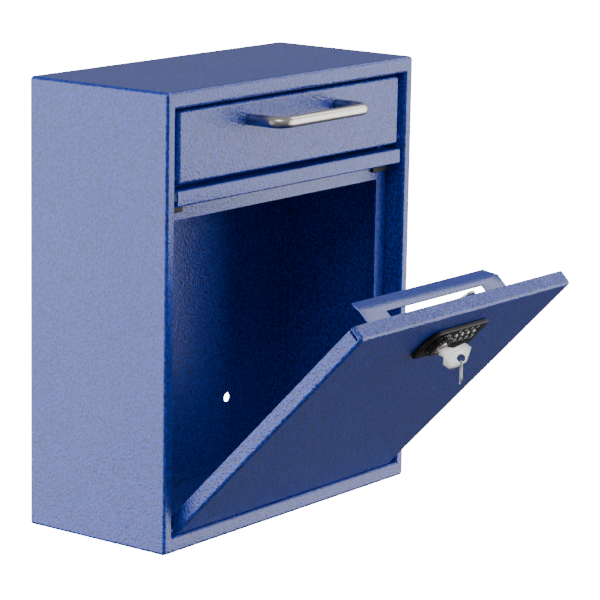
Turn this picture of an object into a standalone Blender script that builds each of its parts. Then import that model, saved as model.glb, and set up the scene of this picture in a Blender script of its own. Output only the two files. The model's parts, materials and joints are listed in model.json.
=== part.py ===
"""Wall drop box: a sheet-steel mailbox with a tilting deposit hopper and a locking drop-down door.

The cabinet stands on z = 0 with its front towards -Y. Sizes are in millimetres, measured from the
front plane, the middle of the width and the underside; Frame.local() turns them into metres
from a pivot.
"""
import math

import bmesh
import bpy
from mathutils import Matrix, Vector

MM = 0.001
GAP = 0.3                      # air between pieces that touch on the real box
CUT_SPARE = 3.0                # how far a cutter runs past what it cuts

# Cabinet
WIDTH = 270.0
DEPTH = 117.0
HEIGHT = 305.0
SHEET = 1.2
BEND = 2.4                     # outside radius of a bend
STILE = 12.0                   # front border, left and right
TOP_BORDER = 11.5
BOTTOM_BORDER = 11.0
RETURN_DEPTH = 13.7            # how far the border turns back into the box
STOP_FLANGE = 10.3
OPENING_X = WIDTH / 2 - STILE
OPENING_TOP = HEIGHT - TOP_BORDER
BACK_FLANGE = 10.0
WALL_HOLE_X = 75.0
WALL_HOLES_Z = (50.0, 255.0)
WALL_HOLE_R = 3.5
BACK_BEND = 1.8
SLIM_BEND = 1.5                # outside radius of a bend in a small bracket

# Rail between the hopper and the door
RAIL_BOTTOM = 229.7
RAIL_TOP = 240.3
RAIL_FACE_Y = 1.1
STRIP_Y = 13.4
STRIP_BOTTOM = 218.3
RAIL_BEND = 1.4
RAIL_END_Y = STRIP_Y - 1.5     # the rail's ends stop short of the stop flanges
STRIP_X = OPENING_X - STOP_FLANGE - 0.5
LATCH_SLOT_X = (-21.5, 15.0)
LATCH_SLOT_Y = (10.9, 13.2)
BUMPER_X = (105.0, OPENING_X - 1.0)
BUMPER_Z = (223.6, 228.6)
BUMPER_EDGE = 0.6

# Door, drawn closed and turned open about its hinge
DOOR_X = 121.0
DOOR_BOTTOM = 14.2
DOOR_TOP = 226.8
DOOR_DEPTH = 11.0
DOOR_HINGE_Y = 4.5
DOOR_HINGE_Z = 15.0
DOOR_OPEN_DEG = 44.0
DOOR_NOTCH = 2.0               # relief between the top flange and the side flanges
PIN_R = 1.7
PIN_HOLE_R = 2.0
PIN_HEAD_R = 2.5
PIN_TIP_X = 118.6
PIN_HEAD_X = 126.2

# Hopper, drawn shut, which is how it rests
HOPPER_X = 121.2
HOPPER_BOTTOM = 243.8
HOPPER_TOP = 291.8
HOPPER_FACE_Y = 2.0
HOPPER_BACK_Y = 11.0
HOPPER_HINGE_Y = 6.0
HOPPER_HINGE_Z = 248.2
CHEEK_X = 110.0
CHEEK_R = 43.0
CHUTE_LENGTH = 66.0
CHUTE_SLOPE_DEG = 20.0
STOP_EAR_R = 40.0
STOP_EAR_DEG = 28.0
STOP_EAR_X = 118.0
STOP_EAR_LENGTH = 8.0
CHUTE_FOOT = 8.0               # height of the chute's flange on the pan

# Pull handle
HANDLE_X = 48.0
HANDLE_Z = 279.0
HANDLE_Y = -24.0
HANDLE_R = 4.0
HANDLE_BEND = 9.0
HANDLE_SCREW_R = 4.0
HANDLE_SCREW_TOP_R = 3.2
HANDLE_SCREW_HEAD = 2.6
HANDLE_HOLE_R = 2.3

# Guard bracket over the cam, inside the door
GUARD_X = 79.0
GUARD_Z = 209.5
GUARD_BEND_Y = 29.0
GUARD_LIP = (38.0, 204.5)
GUARD_FOOT_Z = 217.0
GUARD_SLOT_X = 55.0
GUARD_SLOT_Y = (8.5, 24.0)
GUARD_CORNER = 4.0             # how much the lip's ends are cut back

# Combination lock
LOCK_X = -13.0
LOCK_Z = 198.5
LOCK_TURN_DEG = 45.0           # how far the cam leans from its locked, upright place
BEZEL_X = (-28.5, 35.5)
BEZEL_Z = (184.5, 210.5)
BEZEL_T = 3.0
BEZEL_BIG_R = 9.0              # upper corner at the knob
BEZEL_SMALL_R = 3.0            # the other corners
DIAL_SLOT_HALF = 6.6
BODY_X = (-27.0, 33.0)
BODY_Z = (187.5, 207.8)
BODY_BACK_Y = 11.0
BODY_WALL = 1.1
KNOB_R = 10.5
KNOB_FRONT_Y = -6.8
KNOB_DRAFT = 1.0
HUB_R = 7.4
HUB_END_Y = 7.0
PLUG_R = 4.6
PLUG_END_Y = 7.6
KEYWAY_END_Y = 6.2
SPINDLE_R = 4.4
SPINDLE_Y = (8.0, 17.5)
CAM_Y = (11.4, 13.0)
CAM_REACH = 33.0
CAM_HALF_WIDTH = 7.0
CAM_TIP_HOLE_R = 2.3
NUT_R = 7.6
NUT_T = 3.0
DIAL_COUNT = 4
DIAL_FIRST_X = 3.6
DIAL_PITCH = 6.8
DIAL_WIDTH = 5.2
DIAL_R = 7.0
DIAL_Y = 2.3
DIAL_Z = 198.5
DIAL_FACETS = 20
AXLE_R = 1.1

# Key
KEY_T = 2.0
KEY_BLADE = 3.4                # half the width of the blade
KEY_LENGTH = 12.6              # blade inside the plug
KEY_SHOULDER = (1.2, 2.2)      # where the blade widens, and by when
KEY_HOLE = (6.4, 12.6)
KEY_HOLE_R = 2.8
KEY_BOW = ((-2.8, 5.6), (-6.0, 9.4), (-4.0, 14.5), (1.6, 16.3), (7.9, 16.5), (16.1, 10.1),
           (14.6, 5.4), (6.5, 4.1))
RING_R = 7.5
RING_WIRE_R = 0.55
RING_REST = 0.4                # air between the wire and the edge of the key's hole

COLOURS = {
    "blue_powder": ((0.012, 0.055, 0.30), 0.35, 0.0),
    "black_rubber": ((0.012, 0.012, 0.012), 0.7, 0.0),
    "black_plastic": ((0.010, 0.010, 0.011), 0.35, 0.0),
    "satin_nickel": ((0.62, 0.60, 0.57), 0.3, 1.0),
    "zinc": ((0.55, 0.56, 0.58), 0.35, 1.0),
    "dial_white": ((0.02, 0.02, 0.02), 0.4, 0.0),
}


class Frame:
    """A pivot that pieces are drawn round: its own place in the closed box, and its empty."""

    def __init__(self, pivot, empty=None):
        self.pivot = Vector(pivot)
        self.empty = empty

    def local(self, x, y, z):
        """A point of the closed box, in metres from this frame's pivot."""
        return (Vector((x, y, z)) - self.pivot) * MM


CABINET = Frame((0.0, DEPTH / 2, 0.0))


def clear_scene():
    """Removes every object, so that the script starts from nothing."""
    for item in list(bpy.data.objects):
        bpy.data.objects.remove(item, do_unlink=True)


def new_collection(name):
    """A collection in the scene."""
    collection = bpy.data.collections.new(name)
    bpy.context.scene.collection.children.link(collection)
    return collection


def new_material(name):
    """A plain material from the table of colours."""
    colour, roughness, metallic = COLOURS[name]
    material = bpy.data.materials.new(name)
    material.use_nodes = True
    shader = material.node_tree.nodes["Principled BSDF"]
    shader.inputs["Base Color"].default_value = (*colour, 1.0)
    shader.inputs["Roughness"].default_value = roughness
    shader.inputs["Metallic"].default_value = metallic
    return material


def new_frame(name, pivot, parent, turn=(0.0, 0.0, 0.0)):
    """An empty on a joint's axis, turned in degrees to its rest pose."""
    empty = bpy.data.objects.new(name, None)
    PARTS.objects.link(empty)
    empty.parent = parent.empty
    empty.location = parent.local(*pivot)
    empty.rotation_euler = [math.radians(angle) for angle in turn]
    return Frame(pivot, empty)


def new_piece(name, mesh, frame, material):
    """A sub-part drawn round a frame's pivot."""
    piece = bpy.data.objects.new(name, mesh)
    PARTS.objects.link(piece)
    piece.parent = frame.empty
    mesh.materials.append(MATERIALS[material])
    return piece


def new_cutter(name, mesh, frame):
    """A guide shape that cuts a piece or is joined to it."""
    cutter = bpy.data.objects.new(name, mesh)
    CUTTERS.objects.link(cutter)
    cutter.parent = frame.empty
    cutter.hide_render = True
    cutter.display_type = "WIRE"
    return cutter


def finish_mesh(name, shape, smooth=False):
    """Turns a bmesh into a mesh."""
    mesh = bpy.data.meshes.new(name)
    shape.to_mesh(mesh)
    shape.free()
    if smooth:
        mesh.shade_smooth()
        mesh.set_sharp_from_angle(angle=math.radians(35))
    return mesh


def box_mesh(name, frame, x, y, z):
    """A box between pairs of limits in the closed box's millimetres."""
    low = frame.local(x[0], y[0], z[0])
    high = frame.local(x[1], y[1], z[1])
    shape = bmesh.new()
    bmesh.ops.create_cube(shape, size=1.0)
    bmesh.ops.scale(shape, vec=high - low, verts=shape.verts)
    bmesh.ops.translate(shape, vec=(low + high) / 2, verts=shape.verts)
    return finish_mesh(name, shape)


def rod_mesh(name, frame, axis, start, end, radius, segments=24, end_radius=None):
    """A cylinder or cone from start to end along the axis X or Y."""
    turn = {"X": Matrix.Rotation(math.pi / 2, 3, "Y"), "Y": Matrix.Rotation(-math.pi / 2, 3, "X")}[axis]
    end_radius = radius if end_radius is None else end_radius
    first = frame.local(*start)
    last = frame.local(*end)
    shape = bmesh.new()
    bmesh.ops.create_cone(shape, cap_ends=True, segments=segments, radius1=radius * MM,
                          radius2=end_radius * MM, depth=(last - first).length)
    bmesh.ops.rotate(shape, matrix=turn, verts=shape.verts)
    bmesh.ops.translate(shape, vec=(first + last) / 2, verts=shape.verts)
    return finish_mesh(name, shape, smooth=True)


def plate_mesh(name, frame, outline, thickness_y):
    """A flat outline of (x, z) points, seen from the front, given its thickness along Y."""
    shape = bmesh.new()
    corners = [shape.verts.new(frame.local(x, thickness_y[0], z)) for x, z in outline]
    face = shape.faces.new(corners)
    grown = bmesh.ops.extrude_face_region(shape, geom=[face])
    moved = [item for item in grown["geom"] if isinstance(item, bmesh.types.BMVert)]
    bmesh.ops.translate(shape, vec=(0.0, (thickness_y[1] - thickness_y[0]) * MM, 0.0), verts=moved)
    bmesh.ops.recalc_face_normals(shape, faces=shape.faces)
    return finish_mesh(name, shape)


def modifier(piece, name, kind, **settings):
    """Adds a modifier with its settings."""
    made = piece.modifiers.new(name, kind)
    for key, value in settings.items():
        setattr(made, key, value)
    return made


def sheet(piece, radius=BEND, segments=3):
    """Bends and wall of an open surface of sheet steel whose outer side is drawn."""
    if radius:
        modifier(piece, "Bends", "BEVEL", width=radius * MM, segments=segments, limit_method="ANGLE",
                 angle_limit=math.radians(30))
    modifier(piece, "Wall", "SOLIDIFY", thickness=SHEET * MM, offset=-1.0, use_even_offset=True)


def cut(piece, cutter):
    """Cuts a shape out of a piece."""
    modifier(piece, "Cut " + cutter.name, "BOOLEAN", operation="DIFFERENCE", object=cutter)


def join(piece, other):
    """Joins a shape to a piece."""
    modifier(piece, "Join " + other.name, "BOOLEAN", operation="UNION", object=other)


def rounded(piece, radius, segments=2):
    """Rounds a piece's edges."""
    modifier(piece, "Edges", "BEVEL", width=radius * MM, segments=segments, limit_method="ANGLE",
             angle_limit=math.radians(40))


def strip_surface(frame, profile, x_limits):
    """An open surface: a (y, z) profile run between x limits, and the edges that it ends on."""
    shape = bmesh.new()
    row = [shape.verts.new(frame.local(x, *profile[0])) for x in x_limits]
    edges = [shape.edges.new(pair) for pair in zip(row, row[1:])]
    for before, after in zip(profile, profile[1:]):
        edges = extrude_edges(shape, edges, (0.0, after[0] - before[0], after[1] - before[1]))
    return shape, edges


def extrude_edges(shape, edges, step):
    """Extrudes edges by a step in millimetres and returns the new far edges."""
    grown = bmesh.ops.extrude_edge_only(shape, edges=edges)["geom"]
    verts = [item for item in grown if isinstance(item, bmesh.types.BMVert)]
    bmesh.ops.translate(shape, vec=Vector(step) * MM, verts=verts)
    return [e for e in grown if isinstance(e, bmesh.types.BMEdge) and all(v in verts for v in e.verts)]


def open_pan(name, frame, x, y, z, open_sides):
    """A box surface without the faces that look towards the given directions."""
    shape = bmesh.new()
    shape.from_mesh(box_mesh(name, frame, x, y, z))
    sides = [Vector(side) for side in open_sides]
    gone = [face for face in shape.faces if any(face.normal.dot(side) > 0.5 for side in sides)]
    bmesh.ops.delete(shape, geom=gone, context="FACES_ONLY")
    return finish_mesh(name, shape)


def face_outwards(shape, side):
    """Turns the whole surface so that the face furthest along a direction looks that way."""
    bmesh.ops.recalc_face_normals(shape, faces=shape.faces)
    outer = max(shape.faces,
                key=lambda f: f.calc_center_median().dot(side) + 1e-4 * abs(f.normal.dot(side)))
    if outer.normal.dot(side) < 0:
        bmesh.ops.reverse_faces(shape, faces=shape.faces)


# Cabinet -------------------------------------------------------------------------------------------

def make_housing():
    """Sides, top, bottom and front border, which turns back in and carries two stop flanges."""
    shape = bmesh.new()
    bmesh.ops.create_cube(shape, size=1.0)
    bmesh.ops.scale(shape, vec=Vector((WIDTH, DEPTH, HEIGHT)) * MM, verts=shape.verts)
    bmesh.ops.translate(shape, vec=(0.0, 0.0, HEIGHT / 2 * MM), verts=shape.verts)
    back = [face for face in shape.faces if face.normal.y > 0.5]
    front = [face for face in shape.faces if face.normal.y < -0.5]
    bmesh.ops.delete(shape, geom=back, context="FACES_ONLY")
    bmesh.ops.inset_region(shape, faces=front, thickness=STILE * MM)
    for vert in front[0].verts:
        vert.co.z = (OPENING_TOP if vert.co.z > HEIGHT / 2 * MM else BOTTOM_BORDER) * MM
    turned = bmesh.ops.extrude_discrete_faces(shape, faces=front)["faces"]
    bmesh.ops.translate(shape, vec=(0.0, (RETURN_DEPTH + SHEET) * MM, 0.0), verts=turned[0].verts)
    bmesh.ops.delete(shape, geom=turned, context="FACES_ONLY")
    face_outwards(shape, Vector((0.0, -1.0, 0.0)))
    housing = new_piece("housing", finish_mesh("housing", shape), CABINET, "blue_powder")
    sheet(housing)
    overlap = SHEET * 0.75
    for side in (-1, 1):
        limits = sorted((side * (OPENING_X - STOP_FLANGE), side * (OPENING_X + overlap)))
        flange = box_mesh("stop_flange", CABINET, limits, (RETURN_DEPTH, RETURN_DEPTH + SHEET * 1.2),
                          (BOTTOM_BORDER - overlap, OPENING_TOP + overlap))
        join(housing, new_cutter("stop_flange_%+d" % side, flange, CABINET))
    for name, y, z in (("door", DOOR_HINGE_Y, DOOR_HINGE_Z), ("hopper", HOPPER_HINGE_Y, HOPPER_HINGE_Z)):
        for side in (-1, 1):
            reach = (OPENING_X - CUT_SPARE, OPENING_X + CUT_SPARE)
            hole = side_rod("pin_hole", CABINET, side, reach, y, z, PIN_HOLE_R, 16)
            cut(housing, new_cutter("%s_pin_hole_%+d" % (name, side), hole, CABINET))
    return housing


def make_back_panel():
    """Flat back with a flange turned forwards all round and four holes for wall screws."""
    half = WIDTH / 2 - SHEET - GAP
    low = SHEET + GAP
    high = HEIGHT - SHEET - GAP
    mesh = open_pan("back_panel", CABINET, (-half, half), (DEPTH - BACK_FLANGE, DEPTH), (low, high),
                    ((0, -1, 0),))
    panel = new_piece("back_panel", mesh, CABINET, "blue_powder")
    sheet(panel, BACK_BEND, 2)
    for column, x in enumerate((-WALL_HOLE_X, WALL_HOLE_X)):
        for row, z in enumerate(WALL_HOLES_Z):
            ends = (x, DEPTH - CUT_SPARE, z), (x, DEPTH + CUT_SPARE, z)
            hole = rod_mesh("wall_hole", CABINET, "Y", *ends, WALL_HOLE_R, 24)
            cut(panel, new_cutter("wall_hole_%d_%d" % (column, row), hole, CABINET))
    return panel


def make_mid_rail():
    """Rail above the door: a face, two returns, and a stop strip that the door shuts against."""
    outer = OPENING_X - GAP
    profile = ((STRIP_Y, RAIL_TOP), (RAIL_FACE_Y, RAIL_TOP), (RAIL_FACE_Y, RAIL_BOTTOM),
               (RAIL_END_Y, RAIL_BOTTOM))
    shape, edges = strip_surface(CABINET, profile, (-outer, -STRIP_X, STRIP_X, outer))
    inner = (STRIP_X + GAP) * MM
    middle = [edge for edge in edges if all(abs(vert.co.x) < inner for vert in edge.verts)]
    middle = extrude_edges(shape, middle, (0.0, STRIP_Y - RAIL_END_Y, 0.0))
    extrude_edges(shape, middle, (0.0, 0.0, STRIP_BOTTOM - RAIL_BOTTOM))
    face_outwards(shape, Vector((0.0, 0.0, 1.0)))
    rail = new_piece("mid_rail", finish_mesh("mid_rail", shape), CABINET, "blue_powder")
    sheet(rail, RAIL_BEND, 2)
    slot = box_mesh("latch_slot", CABINET, LATCH_SLOT_X, LATCH_SLOT_Y,
                    (RAIL_BOTTOM - 1.0, RAIL_BOTTOM + SHEET + 1.3))
    cut(rail, new_cutter("latch_slot", slot, CABINET))
    return rail


def make_bumpers():
    """Two rubber pads in the top corners, which the door shuts against."""
    for name, side in (("left", -1), ("right", 1)):
        limits = sorted(side * x for x in BUMPER_X)
        pad = box_mesh("bumper", CABINET, limits, (DOOR_DEPTH + GAP, STRIP_Y - GAP), BUMPER_Z)
        rounded(new_piece("bumper_" + name, pad, CABINET, "black_rubber"), BUMPER_EDGE)


def side_rod(name, frame, side, x, y, z, radius, segments):
    """A cylinder along X between two distances from the middle, on one side."""
    start, end = sorted(side * place for place in x)
    return rod_mesh(name, frame, "X", (start, y, z), (end, y, z), radius, segments)


def make_pins(name, frame, y, z):
    """Two plain hinge pins, each with a low round head behind the border."""
    for label, side in (("left", -1), ("right", 1)):
        shaft = side_rod(name, frame, side, (PIN_TIP_X, PIN_HEAD_X), y, z, PIN_R, 20)
        pin = new_piece("%s_%s" % (name, label), shaft, frame, "zinc")
        head_from = OPENING_X + SHEET + GAP
        head = side_rod("head", frame, side, (head_from, PIN_HEAD_X), y, z, PIN_HEAD_R, 20)
        join(pin, new_cutter("%s_head_%s" % (name, label), head, frame))


# Door ----------------------------------------------------------------------------------------------

def make_door_panel(door):
    """Door pan: a face with a top flange and two side flanges, relieved at the top corners."""
    mesh = open_pan("door_panel", door, (-DOOR_X, DOOR_X), (0.0, DOOR_DEPTH), (DOOR_BOTTOM, DOOR_TOP),
                    ((0, 1, 0), (0, 0, -1)))
    panel = new_piece("door_panel", mesh, door, "blue_powder")
    sheet(panel, BEND, 3)
    for side in (-1, 1):
        limits = sorted((side * (DOOR_X - BEND - 2 * GAP), side * (DOOR_X + 1.0)))
        relief = box_mesh("relief", door, limits, (BEND + GAP, DOOR_DEPTH + 1.0),
                          (DOOR_TOP - BEND - DOOR_NOTCH, DOOR_TOP - BEND))
        cut(panel, new_cutter("corner_relief_%+d" % side, relief, door))
        reach = (DOOR_X - CUT_SPARE, DOOR_X + CUT_SPARE)
        hole = side_rod("lug_hole", door, side, reach, DOOR_HINGE_Y, DOOR_HINGE_Z, PIN_HOLE_R, 16)
        cut(panel, new_cutter("door_lug_hole_%+d" % side, hole, door))
    window = box_mesh("lock_window", door, (BODY_X[0] + 2.0, BODY_X[1] - 2.0), (-CUT_SPARE, CUT_SPARE),
                      (BODY_Z[0] + 1.6, BODY_Z[1] - 1.0))
    cut(panel, new_cutter("lock_window", window, door))
    return panel


def make_guard(door):
    """Bracket over the cam: a foot on the door, a slotted shelf and a lip with cut corners."""
    start = 2 * SHEET + GAP
    profile = ((start, GUARD_FOOT_Z), (start, GUARD_Z), (GUARD_BEND_Y, GUARD_Z), GUARD_LIP)
    shape, _ = strip_surface(door, profile, (-GUARD_X, GUARD_X))
    tips = [v for v in shape.verts if v.co.y > (GUARD_BEND_Y - DOOR_HINGE_Y + 2.0) * MM]
    for vert in tips:
        vert.co.x -= math.copysign(GUARD_CORNER * MM, vert.co.x)
    face_outwards(shape, Vector((0.0, 1.0, 0.0)))
    guard = new_piece("lock_guard", finish_mesh("lock_guard", shape), door, "blue_powder")
    sheet(guard, SLIM_BEND, 2)
    slot = box_mesh("guard_slot", door, (-GUARD_SLOT_X, GUARD_SLOT_X), GUARD_SLOT_Y,
                    (GUARD_Z - CUT_SPARE, GUARD_Z + CUT_SPARE))
    cut(guard, new_cutter("guard_slot", slot, door))
    return guard


# Lock ----------------------------------------------------------------------------------------------

def arc(centre, radius, start_deg, end_deg, steps):
    """Points of an arc in the (x, z) plane, anticlockwise from the +X side."""
    angles = [math.radians(start_deg + (end_deg - start_deg) * step / steps) for step in range(steps + 1)]
    return [(centre[0] + radius * math.cos(a), centre[1] + radius * math.sin(a)) for a in angles]


def lock_rod(name, frame, y, radius, segments, end_radius=None):
    """A cylinder or cone on the knob's axis between two depths."""
    ends = [(LOCK_X, depth, LOCK_Z) for depth in y]
    return rod_mesh(name, frame, "Y", *ends, radius, segments, end_radius)


def bezel_outline():
    """Bezel seen from the front: one broad round corner over the knob, the others small."""
    (left, right), (low, high) = BEZEL_X, BEZEL_Z
    big = BEZEL_BIG_R
    small = BEZEL_SMALL_R
    points = arc((right - small, high - small), small, 0, 90, 4)
    points += arc((left + big, high - big), big, 90, 180, 6)
    points += arc((left + small, low + small), small, 180, 270, 4)
    points += arc((right - small, low + small), small, 270, 360, 4)
    return points


def dial_x(index):
    """Middle of a dial's width."""
    return DIAL_FIRST_X + index * DIAL_PITCH


def make_lock_case(door):
    """Bezel in front of the door, case behind it, and the fixed axle that the dials turn on."""
    front = -GAP - BEZEL_T
    mesh = plate_mesh("lock_bezel", door, bezel_outline(), (front, -GAP))
    bezel = new_piece("lock_bezel", mesh, door, "black_plastic")
    through = (front - CUT_SPARE, CUT_SPARE)
    cut(bezel, new_cutter("hub_hole", lock_rod("hub_hole", door, through, HUB_R + GAP, 32), door))
    for index in range(DIAL_COUNT):
        half = DIAL_WIDTH / 2 + GAP
        slot = box_mesh("dial_slot", door, (dial_x(index) - half, dial_x(index) + half), through,
                        (DIAL_Z - DIAL_SLOT_HALF, DIAL_Z + DIAL_SLOT_HALF))
        cut(bezel, new_cutter("dial_slot_%d" % (index + 1), slot, door))

    case_from = SHEET + GAP
    mesh = box_mesh("lock_body", door, BODY_X, (case_from, BODY_BACK_Y), BODY_Z)
    case = new_piece("lock_body", mesh, door, "black_plastic")
    wall = BODY_WALL
    hollow = box_mesh("case_hollow", door, (BODY_X[0] + wall, BODY_X[1] - wall),
                      (case_from - CUT_SPARE, BODY_BACK_Y - wall), (BODY_Z[0] + wall, BODY_Z[1] - wall))
    cut(case, new_cutter("case_hollow", hollow, door))
    through = (BODY_BACK_Y - CUT_SPARE, BODY_BACK_Y + CUT_SPARE)
    hole = lock_rod("spindle_hole", door, through, SPINDLE_R + GAP, 24)
    cut(case, new_cutter("spindle_hole", hole, door))

    ends = [(x, DIAL_Y, DIAL_Z) for x in (dial_x(0) - 4.5, BODY_X[1] - wall - GAP)]
    axle = rod_mesh("dial_axle", door, "X", *ends, AXLE_R, 16)
    new_piece("dial_axle", axle, door, "zinc")


def make_dials(door):
    """Number wheels, each a faceted drum on the axle, with its own pivot."""
    for index in range(DIAL_COUNT):
        x = dial_x(index)
        pivot = new_frame("dial_pivot_%d" % (index + 1), (x, DIAL_Y, DIAL_Z), door)
        ends = [(x + side * DIAL_WIDTH / 2, DIAL_Y, DIAL_Z) for side in (-1, 1)]
        drum = rod_mesh("dial", pivot, "X", *ends, DIAL_R, DIAL_FACETS)
        dial = new_piece("dial_%d" % (index + 1), drum, pivot, "dial_white")
        ends = [(x + side * DIAL_WIDTH, DIAL_Y, DIAL_Z) for side in (-1, 1)]
        bore = rod_mesh("bore", pivot, "X", *ends, AXLE_R + GAP, 16)
        cut(dial, new_cutter("dial_bore_%d" % (index + 1), bore, pivot))


def make_knob(knob):
    """Low knob with a hub through the bezel and a bore for the key cylinder."""
    back = -GAP - BEZEL_T - GAP
    grip = lock_rod("lock_knob", knob, (KNOB_FRONT_Y, back), KNOB_R - KNOB_DRAFT, 32, KNOB_R)
    piece = new_piece("lock_knob", grip, knob, "black_plastic")
    hub = lock_rod("hub", knob, (back - 1.0, HUB_END_Y), HUB_R, 32)
    join(piece, new_cutter("knob_hub", hub, knob))
    through = (KNOB_FRONT_Y - CUT_SPARE, HUB_END_Y + CUT_SPARE)
    bore = lock_rod("plug_bore", knob, through, PLUG_R + GAP, 28)
    cut(piece, new_cutter("plug_bore", bore, knob))


def make_cam(knob):
    """Spindle behind the knob, the flat cam on it and the nut that holds the cam."""
    new_piece("cam_spindle", lock_rod("cam_spindle", knob, SPINDLE_Y, SPINDLE_R, 24), knob, "zinc")
    outline = arc((LOCK_X, LOCK_Z), CAM_HALF_WIDTH + 1.0, 200, 340, 10)
    outline += arc((LOCK_X, LOCK_Z + CAM_REACH), CAM_HALF_WIDTH, 0, 180, 12)
    cam = new_piece("cam_lever", plate_mesh("cam_lever", knob, outline, CAM_Y), knob, "zinc")
    through = (CAM_Y[0] - CUT_SPARE, CAM_Y[1] + NUT_T + CUT_SPARE)
    cut(cam, new_cutter("cam_bore", lock_rod("cam_bore", knob, through, SPINDLE_R + GAP, 20), knob))
    tip_z = LOCK_Z + CAM_REACH
    hole = rod_mesh("cam_tip_hole", knob, "Y", (LOCK_X, through[0], tip_z), (LOCK_X, through[1], tip_z),
                    CAM_TIP_HOLE_R, 20)
    cut(cam, new_cutter("cam_tip_hole", hole, knob))
    start = CAM_Y[1] + GAP
    nut = new_piece("cam_nut", lock_rod("cam_nut", knob, (start, start + NUT_T), NUT_R, 6), knob, "zinc")
    cut(nut, new_cutter("nut_bore", lock_rod("nut_bore", knob, through, SPINDLE_R + GAP, 20), knob))


def make_key(key):
    """Key cylinder in the knob, the override key in its slot, and the wire ring on the key."""
    front = KNOB_FRONT_Y - 0.5
    plug = lock_rod("key_plug", key, (front, PLUG_END_Y), PLUG_R, 28)
    piece = new_piece("key_plug", plug, key, "zinc")
    half = KEY_T / 2 + GAP
    slot = box_mesh("key_slot", key, (LOCK_X - half, LOCK_X + half), (front - CUT_SPARE, KEYWAY_END_Y),
                    (LOCK_Z - KEY_BLADE - GAP, LOCK_Z + KEY_BLADE + GAP))
    cut(piece, new_cutter("key_slot", slot, key))

    shape = bmesh.new()
    wide = KEY_BLADE + 1.0
    tip = [(-KEY_BLADE, 0.6 - KEY_LENGTH), (-KEY_BLADE * 0.4, -KEY_LENGTH), (KEY_BLADE, 1.2 - KEY_LENGTH)]
    outline = [(KEY_BLADE, KEY_SHOULDER[0]), (wide, KEY_SHOULDER[1])] + list(reversed(KEY_BOW))
    outline += [(-wide, KEY_SHOULDER[1]), (-KEY_BLADE, KEY_SHOULDER[0])] + tip
    side_x = LOCK_X - KEY_T / 2
    places = [key.local(side_x, front - out, LOCK_Z + across) for across, out in outline]
    corners = [shape.verts.new(place) for place in places]
    grown = bmesh.ops.extrude_face_region(shape, geom=[shape.faces.new(corners)])
    moved = [item for item in grown["geom"] if isinstance(item, bmesh.types.BMVert)]
    bmesh.ops.translate(shape, vec=(KEY_T * MM, 0.0, 0.0), verts=moved)
    bmesh.ops.recalc_face_normals(shape, faces=shape.faces)
    piece = new_piece("key", finish_mesh("key", shape), key, "zinc")
    hole_y = front - KEY_HOLE[1]
    hole_z = LOCK_Z + KEY_HOLE[0]
    hole = rod_mesh("bow_hole", key, "X", (LOCK_X - CUT_SPARE, hole_y, hole_z),
                    (LOCK_X + CUT_SPARE, hole_y, hole_z), KEY_HOLE_R, 24)
    cut(piece, new_cutter("bow_hole", hole, key))
    return hole_y, hole_z


def make_key_ring(key, hole_y, hole_z):
    """Wire ring through the bow, hanging straight down from the hole."""
    ring = new_frame("key_ring_pivot", (LOCK_X, hole_y, hole_z), key)
    bpy.context.view_layer.update()
    down = ring.empty.matrix_world.to_3x3().inverted() @ Vector((0.0, 0.0, -1.0))
    down.x = 0.0
    down.normalize()
    bpy.ops.mesh.primitive_torus_add(major_segments=28, minor_segments=8, major_radius=RING_R * MM,
                                     minor_radius=RING_WIRE_R * MM)
    made = bpy.context.active_object
    mesh = made.data
    bpy.data.objects.remove(made)
    across = down.cross(Vector((1.0, 0.0, 0.0)))
    turn = Matrix((Vector((1.0, 0.0, 0.0)), down, -across)).transposed()
    drop = down * (RING_R + KEY_HOLE_R - RING_WIRE_R - RING_REST) * MM
    mesh.transform(Matrix.Translation(drop) @ turn.to_4x4())
    mesh.shade_smooth()
    new_piece("key_ring", mesh, ring, "zinc")


# Hopper --------------------------------------------------------------------------------------------

def make_hopper_front(hopper):
    """Hopper pan: a face with a flange turned back on all four sides."""
    mesh = open_pan("hopper_front", hopper, (-HOPPER_X, HOPPER_X), (HOPPER_FACE_Y, HOPPER_BACK_Y),
                    (HOPPER_BOTTOM, HOPPER_TOP), ((0, 1, 0),))
    pan = new_piece("hopper_front", mesh, hopper, "blue_powder")
    sheet(pan, BEND, 3)
    for side in (-1, 1):
        reach = (HOPPER_X - CUT_SPARE, HOPPER_X + 1.2)
        hole = side_rod("pan_hole", hopper, side, reach, HOPPER_HINGE_Y, HOPPER_HINGE_Z, PIN_HOLE_R, 16)
        cut(pan, new_cutter("hopper_pin_hole_%+d" % side, hole, hopper))
        x = side * HANDLE_X
        hole = rod_mesh("screw_hole", hopper, "Y", (x, HOPPER_FACE_Y - CUT_SPARE, HANDLE_Z),
                        (x, HOPPER_FACE_Y + CUT_SPARE, HANDLE_Z), HANDLE_HOLE_R, 16)
        cut(pan, new_cutter("handle_screw_hole_%+d" % side, hole, hopper))


def make_chute(hopper):
    """Sloping floor behind the pan, which lets mail slide off its back edge when the hopper shuts."""
    slope = math.radians(CHUTE_SLOPE_DEG)
    start_y = HOPPER_FACE_Y + 2 * SHEET + GAP
    start_z = HOPPER_BOTTOM + SHEET + GAP + SHEET
    flat_end = HOPPER_BACK_Y + 1.0
    end = (flat_end + CHUTE_LENGTH * math.cos(slope), start_z - CHUTE_LENGTH * math.sin(slope))
    profile = ((start_y, start_z + CHUTE_FOOT), (start_y, start_z), (flat_end, start_z), end)
    shape, _ = strip_surface(hopper, profile, (-CHEEK_X + SHEET + GAP, CHEEK_X - SHEET - GAP))
    face_outwards(shape, Vector((0.0, 0.0, 1.0)))
    chute = new_piece("hopper_chute", finish_mesh("hopper_chute", shape), hopper, "blue_powder")
    sheet(chute, SLIM_BEND, 2)


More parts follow.
